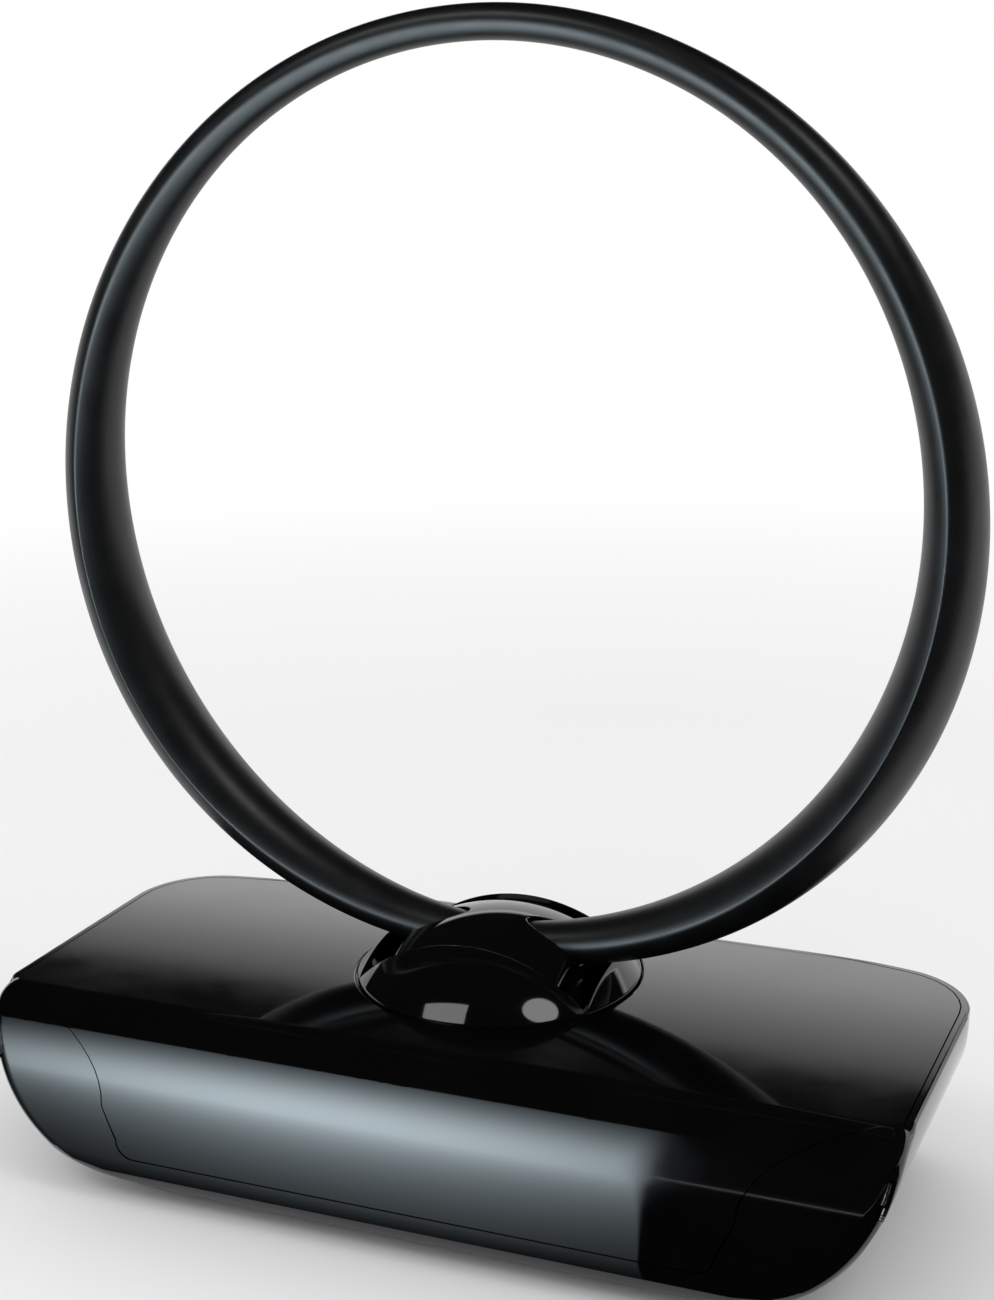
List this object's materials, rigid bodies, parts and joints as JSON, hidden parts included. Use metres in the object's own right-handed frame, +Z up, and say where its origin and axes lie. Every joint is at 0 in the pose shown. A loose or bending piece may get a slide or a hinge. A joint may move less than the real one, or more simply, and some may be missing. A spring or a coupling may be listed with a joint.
{
  "type": "indoor loop tv antenna",
  "caption": "Tabletop television aerial: an upright round loop of tapering section on a domed swivel and tilt hub, set in a low gloss base with a rolled front tongue.",
  "frame": {"origin": "bottom centre of the bounding box, on the table under the base", "axes": "+X across the base to the right, +Y to the back, +Z up; the rolled front faces -Y"},
  "size_m": [0.2044, 0.094, 0.2451],
  "materials": {
    "gloss_black": "high gloss moulded black",
    "satin_black": "fine satin moulded black",
    "inner_black": "moulded",
    "rubber": "matt",
    "steel": "zinc plated",
    "aluminium_rod": "drawn",
    "brass": "turned",
    "board": "lacquered board",
    "ferrite": "sintered"
  },
  "bodies": {
    "base": {"top_cover": "gloss_black", "lower_shell": "gloss_black", "retaining_ring": "inner_black", "retaining_screws": "steel", "swivel_washer": "rubber", "case_screws": "steel", "foot_front_left": "rubber", "foot_front_right": "rubber", "foot_rear_left": "rubber", "foot_rear_right": "rubber", "ballast_plate": "steel", "matching_board": "board", "balun_core": "ferrite", "coax_socket": "steel", "board_screws": "steel", "cable_gland": "rubber"},
    "swivel": {"swivel_cup": "gloss_black", "tilt_pin_left": "steel", "tilt_pin_right": "steel", "tilt_washer_left": "rubber", "tilt_washer_right": "rubber"},
    "loop": {"tilt_cap": "gloss_black", "hub_cradle": "inner_black", "cap_screws": "steel", "loop_front_shell": "satin_black", "loop_rear_shell": "satin_black", "loop_conductor": "aluminium_rod", "terminal_left": "brass", "terminal_right": "brass"}
  },
  "joints": [
    {"name": "hub_swivel", "type": "hinge", "parent": "base", "child": "swivel", "pos_m": [0, 0.0074, 0.034], "axis": [0, 0, 1], "range_deg": [-90, 90]},
    {"name": "loop_tilt", "type": "hinge", "parent": "swivel", "child": "loop", "pos_m": [0, 0.0074, 0.01696], "axis": [1, 0, 0], "range_deg": [-8, 8]}
  ]
}
